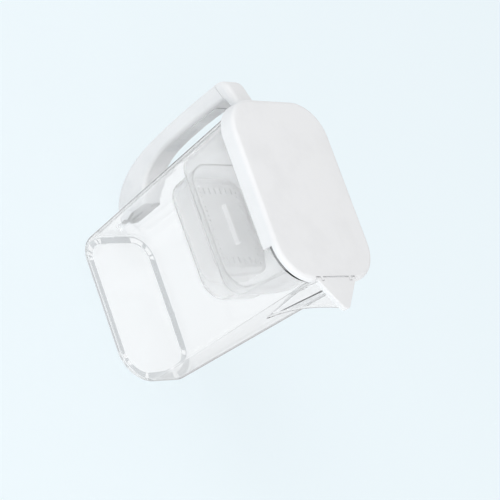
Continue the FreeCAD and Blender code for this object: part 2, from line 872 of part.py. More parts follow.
def make_cartridge_cap():
    """The low domed cap with its ring of inlet holes and a finger grip."""
    flange_z = cup_top_z + cap_flange
    dome_z = flange_z + cap_dome_height
    flange = prism(cup_outline.inset(-cap_flange_reach), cup_top_z, flange_z)
    foot = cup_outline.inset(cap_dome_inset)
    crown = foot.inset(cap_dome_taper)
    dome = rounded_at(loft(foot, flange_z, crown, dome_z), dome_z, cap_dome_round)
    room = loft(foot.inset(cap_wall), cup_top_z, crown.inset(cap_wall), dome_z - cap_wall)
    grip_x = (cartridge_x - cap_grip_length / 2, cartridge_x + cap_grip_length / 2)
    grip_y = (-cap_grip_width / 2, cap_grip_width / 2)
    grip = block(grip_x, grip_y, (dome_z - cap_wall, dome_z + cap_grip_height))
    grip = grip.makeFillet(cap_grip_round, edges_at(grip, dome_z + cap_grip_height))
    inlets = cap_inlets(crown, dome_z - cap_wall - overrun, dome_z + overrun)
    return flange.fuse([dome, grip]).cut([room] + inlets).removeSplitter()


def layer(low_z, high_z):
    """One layer of the cartridge's filling, following the cup's walls."""
    inset = cartridge_wall + cartridge_fit
    return loft(cup_at(low_z).inset(inset), low_z, cup_at(high_z).inset(inset), high_z)


def make_outlet_screen():
    """The round screen over the outlet slots."""
    radius = neck_radius - neck_wall - cartridge_fit
    return cylinder(radius, cartridge_x, neck_floor_z, neck_floor_z + screen_thickness)


def make_nodes():
    """Every piece of the pitcher, by its name."""
    loop = rounded_loop()
    return {
        "jug": make_jug(),
        "handle_grip": make_handle_grip(loop),
        "handle_insert": insert_body(0),
        "handle_cap": make_handle_cap(loop),
        "lid_cover": make_lid_cover(),
        "lid_liner": make_lid_liner(),
        "lid_seal": make_lid_seal(),
        "spout_flap": make_spout_flap(),
        "flap_hinge_pin": make_hinge_pin(),
        "hopper": make_hopper(),
        "cartridge_cup": make_cartridge_cup(),
        "cartridge_cap": make_cartridge_cap(),
        "cartridge_seal": seal_ring(),
        "inlet_screen": layer(screen_z, cup_top_z),
        "outlet_screen": make_outlet_screen(),
        "top_pad": layer(top_pad_z, screen_z),
        "carbon_bed": layer(carbon_z, top_pad_z),
        "middle_pad": layer(middle_pad_z, carbon_z),
        "resin_bed": layer(resin_z, middle_pad_z),
        "bottom_pad": layer(cup_floor_z, resin_z),
    }


if __name__ == "__main__":
    os.makedirs("parts", exist_ok=True)
    for name, shape in make_nodes().items():
        print(name, shape.isValid(), len(shape.Solids), round(shape.Volume))
        shape.exportStep(f"parts/{name}.step")
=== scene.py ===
"""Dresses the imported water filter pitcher: finishes, moulded detail, filter media and a plain studio."""
import logging
import math
from dataclasses import dataclass
from enum import Enum
from typing import Iterable, Sequence

import bmesh
import bpy
from mathutils import Matrix, Vector


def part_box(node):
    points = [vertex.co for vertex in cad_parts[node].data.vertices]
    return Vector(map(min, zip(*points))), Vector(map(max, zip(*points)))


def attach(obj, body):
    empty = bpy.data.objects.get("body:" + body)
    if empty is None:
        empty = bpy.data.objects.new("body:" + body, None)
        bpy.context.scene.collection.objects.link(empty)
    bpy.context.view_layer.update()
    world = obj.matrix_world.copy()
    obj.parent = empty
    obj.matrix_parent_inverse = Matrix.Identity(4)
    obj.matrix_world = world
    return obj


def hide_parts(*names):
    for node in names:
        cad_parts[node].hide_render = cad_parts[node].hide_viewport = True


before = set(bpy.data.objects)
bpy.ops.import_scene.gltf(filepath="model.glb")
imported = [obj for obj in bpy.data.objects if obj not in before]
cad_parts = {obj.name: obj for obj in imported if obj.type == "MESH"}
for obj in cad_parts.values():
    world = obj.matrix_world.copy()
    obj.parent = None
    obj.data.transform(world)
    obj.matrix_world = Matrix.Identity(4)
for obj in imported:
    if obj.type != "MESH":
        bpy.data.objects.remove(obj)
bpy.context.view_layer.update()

log = logging.getLogger("pitcher")

Colour = tuple[float, float, float, float]
Point = tuple[float, float, float]

SMOOTH_ANGLE = math.radians(40.0)


class Grit(Enum):
    """The two kinds of loose filter medium."""

    CARBON = "carbon"
    RESIN = "resin"


class Graph:
    """A shader node tree with short calls for adding and joining nodes."""

    def __init__(self, tree: bpy.types.NodeTree) -> None:
        """Wraps a node tree.

        Args:
            tree: The tree of a material, a world or a node group.
        """
        self.tree = tree

    def add(self, kind: str, **settings: object) -> bpy.types.Node:
        """Adds a node.

        Args:
            kind: The node's type name, without its leading ShaderNode.
            settings: Properties of the node and their values.

        Returns:
            The new node.
        """
        node = self.tree.nodes.new("ShaderNode" + kind)
        for name, value in settings.items():
            setattr(node, name, value)
        return node

    def join(self, source: object, target: bpy.types.NodeSocket) -> None:
        """Feeds an input from a socket, or sets it where the source is a plain value.

        Args:
            source: An output socket or a value.
            target: The input socket.
        """
        if isinstance(source, bpy.types.NodeSocket):
            self.tree.links.new(source, target)
        else:
            target.default_value = source

    def math(self, operation: str, first: object, second: object = 0.0) -> bpy.types.NodeSocket:
        """A sum, product or other operation on two values.

        Args:
            operation: The Math node's operation.
            first: The first socket or value.
            second: The second socket or value.

        Returns:
            The result's socket.
        """
        node = self.add("Math", operation=operation)
        self.join(first, node.inputs[0])
        self.join(second, node.inputs[1])
        return node.outputs[0]

    def ramp(self, source: bpy.types.NodeSocket, low: float, high: float) -> bpy.types.NodeSocket:
        """A smooth step from nought at low to one at high.

        Args:
            source: The value to step.
            low: Where the step begins.
            high: Where it ends.

        Returns:
            The stepped value's socket.
        """
        node = self.add("MapRange", interpolation_type="SMOOTHSTEP")
        self.join(source, node.inputs["Value"])
        node.inputs["From Min"].default_value = low
        node.inputs["From Max"].default_value = high
        return node.outputs["Result"]

    def between(self, share: bpy.types.NodeSocket, low: float, high: float) -> bpy.types.NodeSocket:
        """A value that goes from low to high as a share goes from nought to one.

        Args:
            share: The share's socket.
            low: The value at nought.
            high: The value at one.

        Returns:
            The value's socket.
        """
        node = self.add("MapRange")
        self.join(share, node.inputs["Value"])
        node.inputs["To Min"].default_value = low
        node.inputs["To Max"].default_value = high
        return node.outputs["Result"]

    def mix(self, share: bpy.types.NodeSocket, first: object, second: object) -> bpy.types.NodeSocket:
        """A colour between two colours.

        Args:
            share: How far the mix goes to the second colour.
            first: The first colour, or its socket.
            second: The second colour, or its socket.

        Returns:
            The colour's socket.
        """
        node = self.add("Mix", data_type="RGBA")
        self.join(share, node.inputs["Factor"])
        self.join(first, node.inputs[6])
        self.join(second, node.inputs[7])
        return node.outputs[2]

    def noise(
        self, vector: object, scale: object, detail: float = 3.0, rough: float = 0.55
    ) -> bpy.types.NodeSocket:
        """A noise value over the surface.

        Args:
            vector: The coordinates' socket.
            scale: Grains per metre.
            detail: Octaves of finer noise.
            rough: How strong the finer octaves are.

        Returns:
            The noise value's socket.
        """
        node = self.add("TexNoise")
        self.join(vector, node.inputs["Vector"])
        self.join(scale, node.inputs["Scale"])
        node.inputs["Detail"].default_value = detail
        node.inputs["Roughness"].default_value = rough
        return node.outputs["Fac"]


class Effects:
    """The shader node groups that several finishes share, each built once."""

    grain_detail = 2.0
    grain_cell_share = 0.8
    patch_detail = 4.0
    patch_rough = 0.6
    patch_step = (0.42, 0.68)
    wipe_stretch = (1.0, 1.0, 12.0)
    wipe_fineness = 1.6
    wipe_detail = 5.0
    wipe_step = (0.5, 0.75)
    gap_step = (0.35, 0.7)

    def __init__(self) -> None:
        """Builds every group."""
        self.grain = self._grain()
        self.handling = self._handling()
        self.granules = self._granules()

    @staticmethod
    def _group(name: str, inputs: Sequence[str], outputs: Sequence[str]) -> tuple[Graph, object, object]:
        """An empty node group with a Vector input.

        Args:
            name: The group's name.
            inputs: Names of its further inputs, all plain values.
            outputs: Names of its outputs, all plain values.

        Returns:
            The group's graph, its input node and its output node.
        """
        tree = bpy.data.node_groups.new(name, "ShaderNodeTree")
        tree.interface.new_socket("Vector", in_out="INPUT", socket_type="NodeSocketVector")
        for item in inputs:
            tree.interface.new_socket(item, in_out="INPUT", socket_type="NodeSocketFloat")
        for item in outputs:
            tree.interface.new_socket(item, in_out="OUTPUT", socket_type="NodeSocketFloat")
        graph = Graph(tree)
        return graph, tree.nodes.new("NodeGroupInput"), tree.nodes.new("NodeGroupOutput")

    def _grain(self) -> bpy.types.NodeTree:
        """The fine grain that a mould leaves on plastic.

        Returns:
            A group with inputs Vector and Size, and output Height.
        """
        graph, given, result = self._group("moulded_grain", ["Size"], ["Height"])
        per_metre = graph.math("DIVIDE", 1.0, given.outputs["Size"])
        coarse = graph.noise(given.outputs["Vector"], per_metre, self.grain_detail)
        cells = graph.add("TexVoronoi", feature="SMOOTH_F1")
        graph.join(given.outputs["Vector"], cells.inputs["Vector"])
        graph.join(graph.math("MULTIPLY", per_metre, self.grain_cell_share), cells.inputs["Scale"])
        graph.join(graph.math("ADD", coarse, cells.outputs["Distance"]), result.inputs["Height"])
        return graph.tree

    def _handling(self) -> bpy.types.NodeTree:
        """Patches that hands and cloths leave on a used surface.

        Returns:
            A group with inputs Vector and Spread, and outputs Mask and Streaks.
        """
        graph, given, result = self._group("handling_marks", ["Spread"], ["Mask", "Streaks"])
        per_metre = graph.math("DIVIDE", 1.0, given.outputs["Spread"])
        patches = graph.noise(given.outputs["Vector"], per_metre, self.patch_detail, self.patch_rough)
        graph.join(graph.ramp(patches, *self.patch_step), result.inputs["Mask"])
        stretch = graph.add("Mapping")
        graph.join(given.outputs["Vector"], stretch.inputs["Vector"])
        stretch.inputs["Scale"].default_value = self.wipe_stretch
        finer = graph.math("MULTIPLY", per_metre, self.wipe_fineness)
        wiped = graph.noise(stretch.outputs["Vector"], finer, self.wipe_detail)
        graph.join(graph.ramp(wiped, *self.wipe_step), result.inputs["Streaks"])
        return graph.tree

    def _granules(self) -> bpy.types.NodeTree:
        """Loose grains packed against each other.

        Returns:
            A group with inputs Vector and Size, and outputs Height, Shade and Gap.
        """
        graph, given, result = self._group("packed_granules", ["Size"], ["Height", "Shade", "Gap"])
        per_metre = graph.math("DIVIDE", 1.0, given.outputs["Size"])
        cells = graph.add("TexVoronoi", feature="F1")
        graph.join(given.outputs["Vector"], cells.inputs["Vector"])
        graph.join(per_metre, cells.inputs["Scale"])
        graph.join(graph.math("SUBTRACT", 1.0, cells.outputs["Distance"]), result.inputs["Height"])
        split = graph.add("SeparateColor")
        graph.join(cells.outputs["Color"], split.inputs["Color"])
        graph.join(split.outputs["Red"], result.inputs["Shade"])
        # Gap is high between the grains; the finishes use it for roughness and for painted shade in the
        # crevices
        graph.join(graph.ramp(cells.outputs["Distance"], *self.gap_step), result.inputs["Gap"])
        return graph.tree


class Surface:
    """One material in the making: its tree, its Principled shader and its coordinates."""

    def __init__(self, name: str) -> None:
        """Starts a material.

        Args:
            name: The material's name.
        """
        self.material = bpy.data.materials.new(name)
        self.material.use_nodes = True
        self.graph = Graph(self.material.node_tree)
        self.shader = self.material.node_tree.nodes["Principled BSDF"]
        self.output = self.material.node_tree.nodes["Material Output"]
        self.place = self.graph.add("TexCoord").outputs["Object"]

    def set(self, **values: object) -> None:
        """Sets or feeds inputs of the shader.

        Args:
            values: Sockets or values by the input's name, with _ in place of a space.
        """
        for name, value in values.items():
            self.graph.join(value, self.shader.inputs[name.replace("_", " ")])

    def effect(self, tree: bpy.types.NodeTree, **values: float) -> bpy.types.Node:
        """Places a shared effect on this material's coordinates.

        Args:
            tree: The effect's node group.
            values: Its plain inputs.

        Returns:
            The group node.
        """
        node = self.graph.add("Group", node_tree=tree)
        self.graph.join(self.place, node.inputs["Vector"])
        for name, value in values.items():
            node.inputs[name].default_value = value
        return node

    def bump(self, height: bpy.types.NodeSocket, depth: float) -> None:
        """Turns a height into the shader's normal.

        Args:
            height: The height's socket.
            depth: How far a height of one stands up, in metres.
        """
        node = self.graph.add("Bump")
        node.inputs["Strength"].default_value = 1.0
        node.inputs["Distance"].default_value = depth
        self.graph.join(height, node.inputs["Height"])
        self.graph.join(node.outputs["Normal"], self.shader.inputs["Normal"])

    def let_lamps_through(self) -> None:
        """Lets rays to the lamps pass, so that what is behind clear plastic is lit."""
        path = self.graph.add("LightPath")
        clear = self.graph.add("BsdfTransparent")
        blend = self.graph.add("MixShader")
        self.graph.join(path.outputs["Is Shadow Ray"], blend.inputs["Fac"])
        self.graph.join(self.shader.outputs["BSDF"], blend.inputs[1])
        self.graph.join(clear.outputs["BSDF"], blend.inputs[2])
        self.graph.join(blend.outputs["Shader"], self.output.inputs["Surface"])


@dataclass(frozen=True)
class WhitePlastic:
    """Moulded white plastic with a satin face."""

    name: str
    colour: Colour
    aged: Colour
    roughness: float
    worn_roughness: float
    grain: float
    grain_depth: float
    coat: float
    coat_roughness: float = 0.18
    mark_spread: float = 0.05
    ior: float = 1.5

    def material(self, effects: Effects) -> bpy.types.Material:
        """Builds the material.

        Args:
            effects: The shared node groups.

        Returns:
            The new material.
        """
        surface = Surface(self.name)
        marks = surface.effect(effects.handling, Spread=self.mark_spread)
        grain = surface.effect(effects.grain, Size=self.grain)
        tint = surface.graph.mix(marks.outputs["Mask"], self.colour, self.aged)
        rough = surface.graph.between(marks.outputs["Streaks"], self.roughness, self.worn_roughness)
        surface.set(Base_Color=tint, Roughness=rough, IOR=self.ior)
        surface.set(Coat_Weight=self.coat, Coat_Roughness=self.coat_roughness)
        surface.bump(grain.outputs["Height"], self.grain_depth)
        return surface.material


@dataclass(frozen=True)
class ClearPlastic:
    """Clear moulded plastic with painted shade at its edges: the colour darkens where the view runs along the
    wall, standing in for dark surroundings bent into view.
    """

    name: str
    colour: Colour
    # edge is the colour of the painted shade that the plastic darkens towards at grazing views
    edge: Colour
    roughness: float
    smear_roughness: float
    ior: float
    absorbs: Colour
    density: float
    painted_edge_shade_step: tuple[float, float] = (0.71, 0.86)
    smear_spread: float = 0.06
    ripple: float = 0.012
    ripple_depth: float = 0.000006

    def material(self, effects: Effects) -> bpy.types.Material:
        """Builds the material.

        Args:
            effects: The shared node groups.

        Returns:
            The new material.
        """
        surface = Surface(self.name)
        marks = surface.effect(effects.handling, Spread=self.smear_spread)
        grain = surface.effect(effects.grain, Size=self.ripple)
        rough = surface.graph.between(marks.outputs["Streaks"], self.roughness, self.smear_roughness)
        # Layer Weight paints shade along edges and silhouettes, in place of dark refracted surroundings
        facing = surface.graph.add("LayerWeight").outputs["Facing"]
        tint = surface.graph.mix(surface.graph.ramp(facing, *self.painted_edge_shade_step), self.colour, self.edge)
        surface.set(Base_Color=tint, Roughness=rough, IOR=self.ior, Transmission_Weight=1.0)
        surface.bump(grain.outputs["Height"], self.ripple_depth)
        absorb = surface.graph.add("VolumeAbsorption")
        absorb.inputs["Color"].default_value = self.absorbs
        absorb.inputs["Density"].default_value = self.density
        surface.graph.join(absorb.outputs["Volume"], surface.output.inputs["Volume"])
        surface.let_lamps_through()
        return surface.material


@dataclass(frozen=True)
class MilkyPlastic:
    """Milky plastic that lets light through but no clear view."""

    name: str
    colour: Colour
    shade: Colour
    roughness: float
    transmission: float
    streak_roughness: float = 0.08
    mark_spread: float = 0.08
    grain: float = 0.0012
    grain_depth: float = 0.000004
    ior: float = 1.49

    def material(self, effects: Effects) -> bpy.types.Material:
        """Builds the material.

        Args:
            effects: The shared node groups.

        Returns:
            The new material.
        """
        surface = Surface(self.name)
        marks = surface.effect(effects.handling, Spread=self.mark_spread)
        grain = surface.effect(effects.grain, Size=self.grain)
        tint = surface.graph.mix(marks.outputs["Mask"], self.colour, self.shade)
        streaked = self.roughness + self.streak_roughness
        rough = surface.graph.between(marks.outputs["Streaks"], self.roughness, streaked)
        surface.set(Base_Color=tint, Roughness=rough, IOR=self.ior, Transmission_Weight=self.transmission)
        surface.bump(grain.outputs["Height"], self.grain_depth)
        surface.let_lamps_through()
        return surface.material


@dataclass(frozen=True)
class SoftRubber:
    """Soft rubber with a dull, faintly dusty face."""

    name: str
    colour: Colour
    dusty: Colour
    roughness: float
    dust_roughness: float = 0.15
    dust_spread: float = 0.02
    grain: float = 0.0008
    grain_depth: float = 0.00004
    sheen: float = 0.15

    def material(self, effects: Effects) -> bpy.types.Material:
        """Builds the material.

        Args:
            effects: The shared node groups.

        Returns:
            The new material.
        """
        surface = Surface(self.name)
        graph = surface.graph
        marks = surface.effect(effects.handling, Spread=self.dust_spread)
        grain = surface.effect(effects.grain, Size=self.grain)
        dust = marks.outputs["Mask"]
        surface.set(
            Base_Color=graph.mix(dust, self.colour, self.dusty),
            Roughness=graph.between(dust, self.roughness, self.roughness + self.dust_roughness),
            Sheen_Weight=self.sheen,
        )
        surface.bump(grain.outputs["Height"], self.grain_depth)
        return surface.material


@dataclass(frozen=True)
class DrawnSteel:
    """Drawn steel wire with fine lines along its length."""

    name: str
    colour: Colour
    roughness: float
    worn_roughness: float = 0.5
    mark_spread: float = 0.004
    line_stretch: Point = (1.0, 0.03, 1.0)
    lines_per_metre: float = 9000.0
    line_detail: float = 2.0
    line_depth: float = 0.00002

    def material(self, effects: Effects) -> bpy.types.Material:
        """Builds the material.

        Args:
            effects: The shared node groups.

        Returns:
            The new material.
        """
        surface = Surface(self.name)
        graph = surface.graph
        marks = surface.effect(effects.handling, Spread=self.mark_spread)
        stretch = graph.add("Mapping")
        graph.join(surface.place, stretch.inputs["Vector"])
        stretch.inputs["Scale"].default_value = self.line_stretch
        lines = graph.noise(stretch.outputs["Vector"], self.lines_per_metre, self.line_detail)
        worn = graph.math("MULTIPLY", lines, marks.outputs["Mask"])
        rough = graph.between(worn, self.roughness, self.worn_roughness)
        surface.set(Base_Color=self.colour, Metallic=1.0, Roughness=rough)
        surface.bump(lines, self.line_depth)
        return surface.material


@dataclass(frozen=True)
class PressedFelt:
    """White filter felt of pressed fibres."""

    name: str
    colour: Colour
    shadow: Colour
    lie_turn: Point = (0.3, 0.2, 0.6)
    lie_stretch: Point = (1.0, 6.0, 3.0)
    fibres_per_metre: float = 900.0
    fibre_detail: float = 6.0
    fibre_rough: float = 0.7
    fibre_step: tuple[float, float] = (0.35, 0.65)
    fibre_depth: float = 0.0004
    clump: float = 0.003
    roughness: tuple[float, float] = (0.85, 1.0)
    sheen: float = 0.4

    def material(self, effects: Effects) -> bpy.types.Material:
        """Builds the material.

        Args:
            effects: The shared node groups.

        Returns:
            The new material.
        """
        surface = Surface(self.name)
        graph = surface.graph
        lie = graph.add("Mapping")
        graph.join(surface.place, lie.inputs["Vector"])
        lie.inputs["Rotation"].default_value = self.lie_turn
        lie.inputs["Scale"].default_value = self.lie_stretch
        along = lie.outputs["Vector"]
        fibres = graph.noise(along, self.fibres_per_metre, self.fibre_detail, self.fibre_rough)
        clumps = surface.effect(effects.grain, Size=self.clump)
        tint = graph.mix(graph.ramp(fibres, *self.fibre_step), self.shadow, self.colour)
        rough = graph.between(fibres, *self.roughness)
        surface.set(Base_Color=tint, Roughness=rough, Sheen_Weight=self.sheen)
        surface.bump(graph.math("ADD", fibres, clumps.outputs["Height"]), self.fibre_depth)
        return surface.material


@dataclass(frozen=True)
class WovenScreen:
    """Fine woven screen of round threads."""

    name: str
    colour: Colour
    hole: Colour
    pitch: float
    thread_step: tuple[float, float] = (-0.25, 0.2)
    thread_depth: float = 0.0002
    mark_spread: float = 0.03
    roughness: tuple[float, float] = (0.45, 0.65)

    def material(self, effects: Effects) -> bpy.types.Material:
        """Builds the material.

        Args:
            effects: The shared node groups.

        Returns:
            The new material.
        """
        surface = Surface(self.name)
        graph = surface.graph
        split = graph.add("SeparateXYZ")
        graph.join(surface.place, split.inputs["Vector"])
        warp = graph.math("SINE", graph.math("MULTIPLY", split.outputs["X"], math.tau / self.pitch))
        weft = graph.math("SINE", graph.math("MULTIPLY", split.outputs["Y"], math.tau / self.pitch))
        threads = graph.math("MAXIMUM", warp, weft)
        solid = graph.ramp(threads, *self.thread_step)
        marks = surface.effect(effects.handling, Spread=self.mark_spread)
        tint = graph.mix(solid, self.hole, self.colour)
        rough = graph.between(marks.outputs["Mask"], *self.roughness)
        surface.set(Base_Color=tint, Roughness=rough)
        surface.bump(threads, self.thread_depth)
        return surface.material


@dataclass(frozen=True)
class Granulate:
    """Loose filter grains: sharp dry carbon or smooth wet-looking resin beads, with painted shade in the gaps
    between them.
    """

    name: str
    kind: Grit
    dark: Colour
    light: Colour
    size: float
    dry_roughness: float = 0.75
    wet_roughness: float = 0.3
    gap_roughness: float = 0.25
    relief_share: float = 0.5

    def material(self, effects: Effects) -> bpy.types.Material:
        """Builds the material.

        Args:
            effects: The shared node groups.

        Returns:
            The new material.
        """
        surface = Surface(self.name)
        graph = surface.graph
        grains = surface.effect(effects.granules, Size=self.size)
        tint = graph.mix(grains.outputs["Shade"], self.dark, self.light)
        # Painted shade: the colour goes to the dark tone in the gaps between grains, where shade would fall
        tint = graph.mix(grains.outputs["Gap"], tint, self.dark)
        dull = self.dry_roughness if self.kind is Grit.CARBON else self.wet_roughness
        rough = graph.between(grains.outputs["Gap"], dull, min(1.0, dull + self.gap_roughness))
        surface.set(Base_Color=tint, Roughness=rough)
        surface.bump(grains.outputs["Height"], self.size * self.relief_share)
        return surface.material


class Finishes:
    """Every finish of the pitcher as a material, made once."""

    def __init__(self, effects: Effects) -> None:
        """Builds the materials.

        Args:
            effects: The shared node groups.
        """
        # The jug's second colour is painted shade for its edges, not a tint of the plastic.
        self.clear = ClearPlastic(
            "clear_jug_plastic", (0.995, 0.998, 1.0, 1.0), (0.015, 0.017, 0.02, 1.0),
            roughness=0.008, smear_roughness=0.03, ior=1.46, absorbs=(0.7, 0.78, 0.82, 1.0), density=14.0
        ).material(effects)
        self.milky = MilkyPlastic(
            "milky_hopper_plastic", (0.95, 0.952, 0.955, 1.0), (0.93, 0.935, 0.94, 1.0),
            roughness=0.02, transmission=0.78
        ).material(effects)
        self.lid = WhitePlastic(
            "lid_plastic", (0.82, 0.82, 0.825, 1.0), (0.79, 0.79, 0.795, 1.0),
            roughness=0.46, worn_roughness=0.58, grain=0.0006, grain_depth=0.00002, coat=0.0
        ).material(effects)
        self.handle = WhitePlastic(
            "handle_plastic", (0.82, 0.82, 0.825, 1.0), (0.77, 0.775, 0.78, 1.0),
            roughness=0.36, worn_roughness=0.5, grain=0.0008, grain_depth=0.00002, coat=0.08
        ).material(effects)
        self.matt = WhitePlastic(
            "cartridge_plastic", (0.89, 0.893, 0.896, 1.0), (0.85, 0.853, 0.857, 1.0),
            roughness=0.5, worn_roughness=0.65, grain=0.0005, grain_depth=0.00003, coat=0.0
        ).material(effects)
        self.grip = SoftRubber(
            "grip_rubber", (0.78, 0.79, 0.8, 1.0), (0.72, 0.73, 0.74, 1.0), roughness=0.6
        ).material(effects)
        self.silicone = SoftRubber(
            "seal_silicone", (0.62, 0.66, 0.69, 1.0), (0.54, 0.58, 0.61, 1.0), roughness=0.45
        ).material(effects)
        self.steel = DrawnSteel("pin_steel", (0.62, 0.62, 0.63, 1.0), roughness=0.22).material(effects)
        self.felt = PressedFelt(
            "filter_felt", (0.86, 0.86, 0.83, 1.0), (0.66, 0.66, 0.63, 1.0)
        ).material(effects)
        self.screen = WovenScreen(
            "filter_screen", (0.14, 0.145, 0.15, 1.0), (0.02, 0.02, 0.022, 1.0), pitch=0.0009
        ).material(effects)
        self.carbon = Granulate(
            "carbon_grains", Grit.CARBON, (0.008, 0.008, 0.009, 1.0), (0.05, 0.05, 0.052, 1.0), size=0.0014
        ).material(effects)
        self.resin = Granulate(
            "resin_beads", Grit.RESIN, (0.16, 0.07, 0.015, 1.0), (0.62, 0.36, 0.1, 1.0), size=0.001
        ).material(effects)


def dress(node: str, material: bpy.types.Material) -> None:
    """Gives a CAD node its finish.

    Args:
        node: The node's name.
        material: Its material.
    """
    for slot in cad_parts[node].material_slots:
        slot.material = material
    log.info("dressed %s in %s", node, material.name)


def nothing_selected() -> None:
    """Leaves edit mode and deselects every object."""
    if bpy.context.object is not None and bpy.context.object.mode != "OBJECT":
        bpy.ops.object.mode_set(mode="OBJECT")
    bpy.ops.object.select_all(action="DESELECT")


def join_copies(pattern: bpy.types.Object, places: Iterable[Matrix], name: str) -> bpy.types.Object:
    """Copies a modelled piece to many places and joins the copies to one mesh.

    Args:
        pattern: The piece that repeats, which goes away.
        places: Where each copy goes.
        name: The joined piece's name.

    Returns:
        The joined piece, with its place in its mesh.
    """
    copies = []
    for place in places:
        copy = bpy.data.objects.new(name, pattern.data.copy())
        copy.data.transform(place)
        bpy.context.scene.collection.objects.link(copy)
        copies.append(copy)
    nothing_selected()
    for copy in copies:
        copy.select_set(True)
    bpy.context.view_layer.objects.active = copies[0]
    bpy.ops.object.join()
    joined = bpy.context.object
    joined.name = name
    joined.data.name = name
    bpy.data.objects.remove(pattern)
    return joined


def finish_piece(piece: bpy.types.Object, material: bpy.types.Material, body: str) -> None:
    """Shades, paints and registers a new piece.

    Args:
        piece: The piece, with its place in its mesh.
        material: Its finish.
        body: The CAD body that it rides on.
    """
    piece.data.materials.clear()
    piece.data.materials.append(material)
    nothing_selected()
    piece.select_set(True)
    bpy.context.view_layer.objects.active = piece
    bpy.ops.object.shade_smooth_by_angle(angle=SMOOTH_ANGLE)
    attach(piece, body)
    log.info("made %s, %d faces", piece.name, len(piece.data.polygons))


@dataclass
class Jug:
    """The clear jug."""

    def build(self, finishes: Finishes) -> None:
        """Dresses the jug.

        Args:
            finishes: The materials.
        """
        dress("jug", finishes.clear)


@dataclass
class Handle:
    """The handle's grip, its cap and the soft ribbed insert on its finger side."""

    rib_segments: int = 12
    rib_rings: int = 8
    rib_pitch: float = 0.005
    rib_radius: float = 0.0012
    rib_length: float = 0.0092
    rib_flat_share: float = 0.7
    rib_proud: float = 0.00035
    rib_margin: float = 0.007

    def rib(self) -> bpy.types.Object:
        """A round-ended bar along Y, a little flattened, modelled at the origin.

        Returns:
            The bar.
        """
        nothing_selected()
        bpy.ops.mesh.primitive_uv_sphere_add(
            segments=self.rib_segments,
            ring_count=self.rib_rings,
            radius=self.rib_radius,
            rotation=(math.pi / 2, 0.0, 0.0),
        )
        bar = bpy.context.object
        bar.name = "grip_rib"
        bpy.ops.object.transform_apply(location=True, rotation=True, scale=True)
        bpy.ops.object.mode_set(mode="EDIT")
        bpy.ops.mesh.select_all(action="SELECT")
        bpy.ops.transform.resize(value=(self.rib_flat_share, 1.0, 1.0))
        middle = self.rib_radius / self.rib_rings
        for side in (-1, 1):
            bpy.ops.mesh.select_mode(type="VERT")
            bpy.ops.mesh.select_all(action="DESELECT")
            mesh = bmesh.from_edit_mesh(bar.data)
            for vertex in mesh.verts:
                vertex.select_set(side * vertex.co.y > middle)
            bmesh.update_edit_mesh(bar.data)
            bpy.ops.transform.translate(value=(0.0, side * self.rib_length / 2, 0.0))
        bpy.ops.object.mode_set(mode="OBJECT")
        return bar

    def rib_places(self) -> list[Matrix]:
        """Places of the cross ribs, each sunk into the insert's finger face.

        Returns:
            One placing for each rib.
        """
        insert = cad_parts["handle_insert"]
        low, high = (Vector(corner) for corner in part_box("handle_insert"))
        bpy.context.view_layer.update()
        places = []
        for index in range(int((high.z - low.z - 2 * self.rib_margin) / self.rib_pitch) + 1):
            start = Vector((0.0, 0.0, low.z + self.rib_margin + index * self.rib_pitch))
            found, spot, normal, _ = insert.ray_cast(start, Vector((-1.0, 0.0, 0.0)))
            if found:
                sink = self.rib_radius * self.rib_flat_share - self.rib_proud
                places.append(Matrix.Translation(spot - normal * sink))
        return places

    def build(self, finishes: Finishes) -> None:
        """Dresses the handle's pieces.

        Args:
            finishes: The materials.
        """
        dress("handle_grip", finishes.handle)
        dress("handle_cap", finishes.handle)
        dress("handle_insert", finishes.grip)
        ribs = join_copies(self.rib(), self.rib_places(), "grip_ribs")
        finish_piece(ribs, finishes.grip, "pitcher")


@dataclass
class Lid:
    """The lid's shell, its inner frame and seal, and the spout flap on its pin."""

    def build(self, finishes: Finishes) -> None:
        """Dresses the lid's pieces.

        Args:
            finishes: The materials.
        """
        dress("lid_cover", finishes.lid)
        dress("spout_flap", finishes.lid)
        dress("lid_liner", finishes.matt)
        dress("lid_seal", finishes.silicone)
        dress("flap_hinge_pin", finishes.steel)


@dataclass
class Hopper:
    """The milky hopper that hangs in the jug's mouth."""

    def build(self, finishes: Finishes) -> None:
        """Dresses the hopper.

        Args:
            finishes: The materials.
        """
        dress("hopper", finishes.milky)


